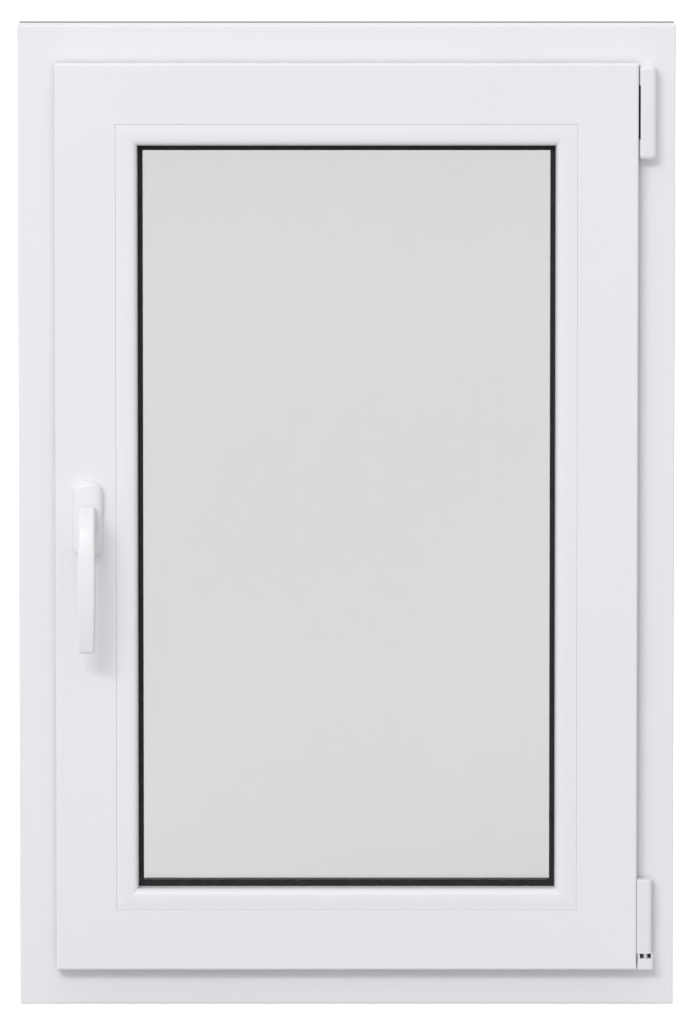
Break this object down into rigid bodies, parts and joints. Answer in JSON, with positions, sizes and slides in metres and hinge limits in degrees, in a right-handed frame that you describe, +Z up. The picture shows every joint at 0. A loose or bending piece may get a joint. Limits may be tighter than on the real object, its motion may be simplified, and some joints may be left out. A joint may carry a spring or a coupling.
{
  "type": "basement window",
  "caption": "White plastic tilt and turn basement window with double glazing, handle on the left and hinges on the right, closed.",
  "frame": {"origin": "middle of the flat underside of the outer frame", "axes": "+X to the right seen from the room, +Y from the room to the weather side, +Z up"},
  "size_m": [0.6, 0.148, 0.9],
  "materials": {
    "white_profile": "smooth extruded white plastic, satin",
    "dark_strip": "dark grey foam sealing strip",
    "black_seal": "black seal rubber, satin",
    "clear_glass": "clear float glass",
    "black_spacer": "black insulating spacer bar",
    "block_plastic": "moulded plastic packer",
    "galvanised_steel": "galvanised sheet",
    "white_lacquer": "white powder coat, satin",
    "white_cap": "moulded white plastic, satin",
    "bright_steel": "zinc plated",
    "black_steel": "black coated hinge arm",
    "dark_bearing": "dark grey bearing plastic"
  },
  "bodies": {
    "window": {"frame_top": "white_profile", "frame_bottom": "white_profile", "frame_left": "white_profile", "frame_right": "white_profile", "sash_top": "white_profile", "sash_bottom": "white_profile", "sash_left": "white_profile", "sash_right": "white_profile", "bead_top": "white_profile", "bead_bottom": "white_profile", "bead_left": "white_profile", "bead_right": "white_profile", "edge_strip_top": "dark_strip", "edge_strip_bottom": "dark_strip", "edge_strip_left": "dark_strip", "edge_strip_right": "dark_strip", "bead_gasket": "black_seal", "outer_gasket": "black_seal", "sash_seal": "black_seal", "frame_seal": "black_seal", "inner_pane": "clear_glass", "outer_pane": "clear_glass", "glass_spacer": "black_spacer", "glazing_blocks": "block_plastic", "frame_steel": "galvanised_steel", "sash_steel": "galvanised_steel", "handle_rosette": "white_lacquer", "top_hinge_cap": "white_cap", "top_hinge_bearing": "bright_steel", "top_hinge_arm": "black_steel", "top_hinge_pin": "bright_steel", "bottom_hinge_bearing": "white_cap", "bottom_hinge_collar": "dark_bearing", "bottom_hinge_pin": "bright_steel", "bottom_hinge_sleeve": "white_cap", "bottom_hinge_arm": "bright_steel", "drain_caps": "white_cap"},
    "handle": {"handle_lever": "white_lacquer", "handle_spindle": "bright_steel"}
  },
  "joints": [
    {"name": "handle_turn", "type": "hinge", "parent": "window", "child": "handle", "pos_m": [-0.2365, -0.064, 0.45], "axis": [0, -1, 0], "range_deg": [0, 180]}
  ]
}
